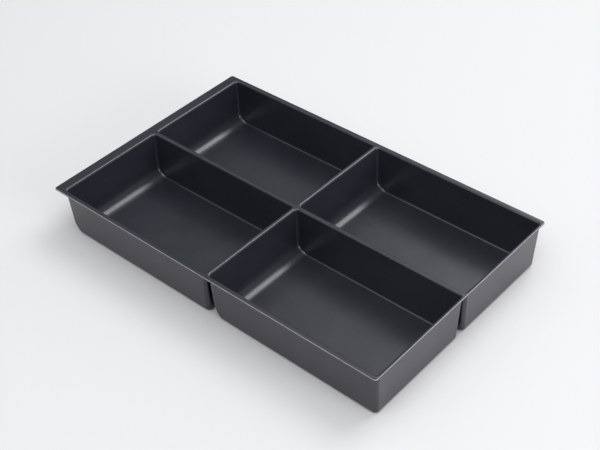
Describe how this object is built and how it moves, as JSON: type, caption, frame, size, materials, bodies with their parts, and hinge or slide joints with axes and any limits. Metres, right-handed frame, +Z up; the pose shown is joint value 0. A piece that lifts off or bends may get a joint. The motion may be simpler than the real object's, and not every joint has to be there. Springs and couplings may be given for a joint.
{
  "type": "compartment tray",
  "caption": "Shallow rectangular plastic tray with a flat rim and drafted wells in a grid, each with rounded lips and a finger scoop at one end, for sorting small things in a drawer.",
  "frame": {"origin": "middle of the overall footprint, at the level that the floors stand on", "axes": "+X along the length, away from the wide rim; +Y to the rear; +Z up"},
  "size_m": [0.34, 0.2154, 0.0435],
  "materials": {
    "tray_plastic": "satin"
  },
  "bodies": {
    "root": {"rim_deck": "tray_plastic", "well_front_left": "tray_plastic", "well_front_right": "tray_plastic", "well_rear_left": "tray_plastic", "well_rear_right": "tray_plastic"}
  },
  "joints": []
}
